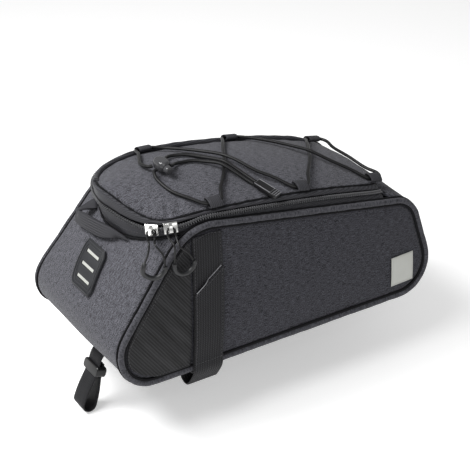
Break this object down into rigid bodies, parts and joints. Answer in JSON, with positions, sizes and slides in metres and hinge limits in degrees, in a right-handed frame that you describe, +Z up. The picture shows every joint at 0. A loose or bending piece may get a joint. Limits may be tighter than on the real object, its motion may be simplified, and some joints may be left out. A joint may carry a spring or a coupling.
{
  "type": "bicycle rack bag",
  "caption": "Charcoal heather trunk bag for a bicycle rack: padded lid, zip band round three sides, piped side panels, laced elastic cord, rear handle, slotted light patch and rack straps",
  "frame": {"origin": "middle of the underside of the bag's base, where it rests on the rack's deck", "axes": "+X from the rear end to the front end of the bag, +Y to its left side, seen facing forward, +Z up from the deck"},
  "size_m": [0.3473, 0.185, 0.2394],
  "materials": {
    "heather_light": "heather polyester, fine light streaks",
    "heather_dark": "darker heather polyester",
    "piping_cloth": "light heather binding over a round core",
    "tape_cloth": "smooth dense zip tape",
    "webbing": "woven polyester webbing",
    "cord_cloth": "braided elastic cord cover",
    "coated_cloth": "coated cloth with fine slanted ribs, half matt",
    "black_plastic": "moulded plastic, half matt",
    "grey_rubber": "moulded soft rubber, matt",
    "reflective_film": "reflective film, satin",
    "bright_metal": "polished plating"
  },
  "bodies": {
    "root": {"base_panel": "webbing", "rear_panel": "heather_light", "front_panel": "heather_dark", "lid_panel": "heather_light", "side_panel_near": "heather_dark", "side_panel_far": "heather_dark", "side_piping_near": "piping_cloth", "side_piping_far": "piping_cloth", "corner_guard_near": "coated_cloth", "corner_guard_far": "coated_cloth", "side_strap_near": "webbing", "side_strap_far": "webbing", "cord_tab_near_rear": "webbing", "cord_tab_near_middle": "webbing", "cord_tab_near_front": "webbing", "cord_tab_far_rear": "webbing", "cord_tab_far_middle": "webbing", "cord_tab_far_front": "webbing", "zip_tape_lower": "tape_cloth", "zip_tape_upper": "tape_cloth", "zip_coil": "black_plastic", "zip_slider_rear": "bright_metal", "zip_slider_side": "bright_metal", "zip_pull_cord_rear": "cord_cloth", "zip_grip_rear": "grey_rubber", "zip_pull_cord_side": "cord_cloth", "zip_grip_side": "grey_rubber", "rear_handle": "webbing", "light_patch": "grey_rubber", "patch_strip_1": "reflective_film", "patch_strip_2": "reflective_film", "patch_strip_3": "reflective_film", "side_label": "reflective_film", "rear_strap": "webbing", "rear_buckle": "black_plastic", "lashing_cord": "cord_cloth", "cord_lock": "black_plastic", "cord_lock_button": "black_plastic", "cord_tail_upper": "cord_cloth", "cord_tail_lower": "cord_cloth", "cord_end": "black_plastic"}
  },
  "joints": []
}
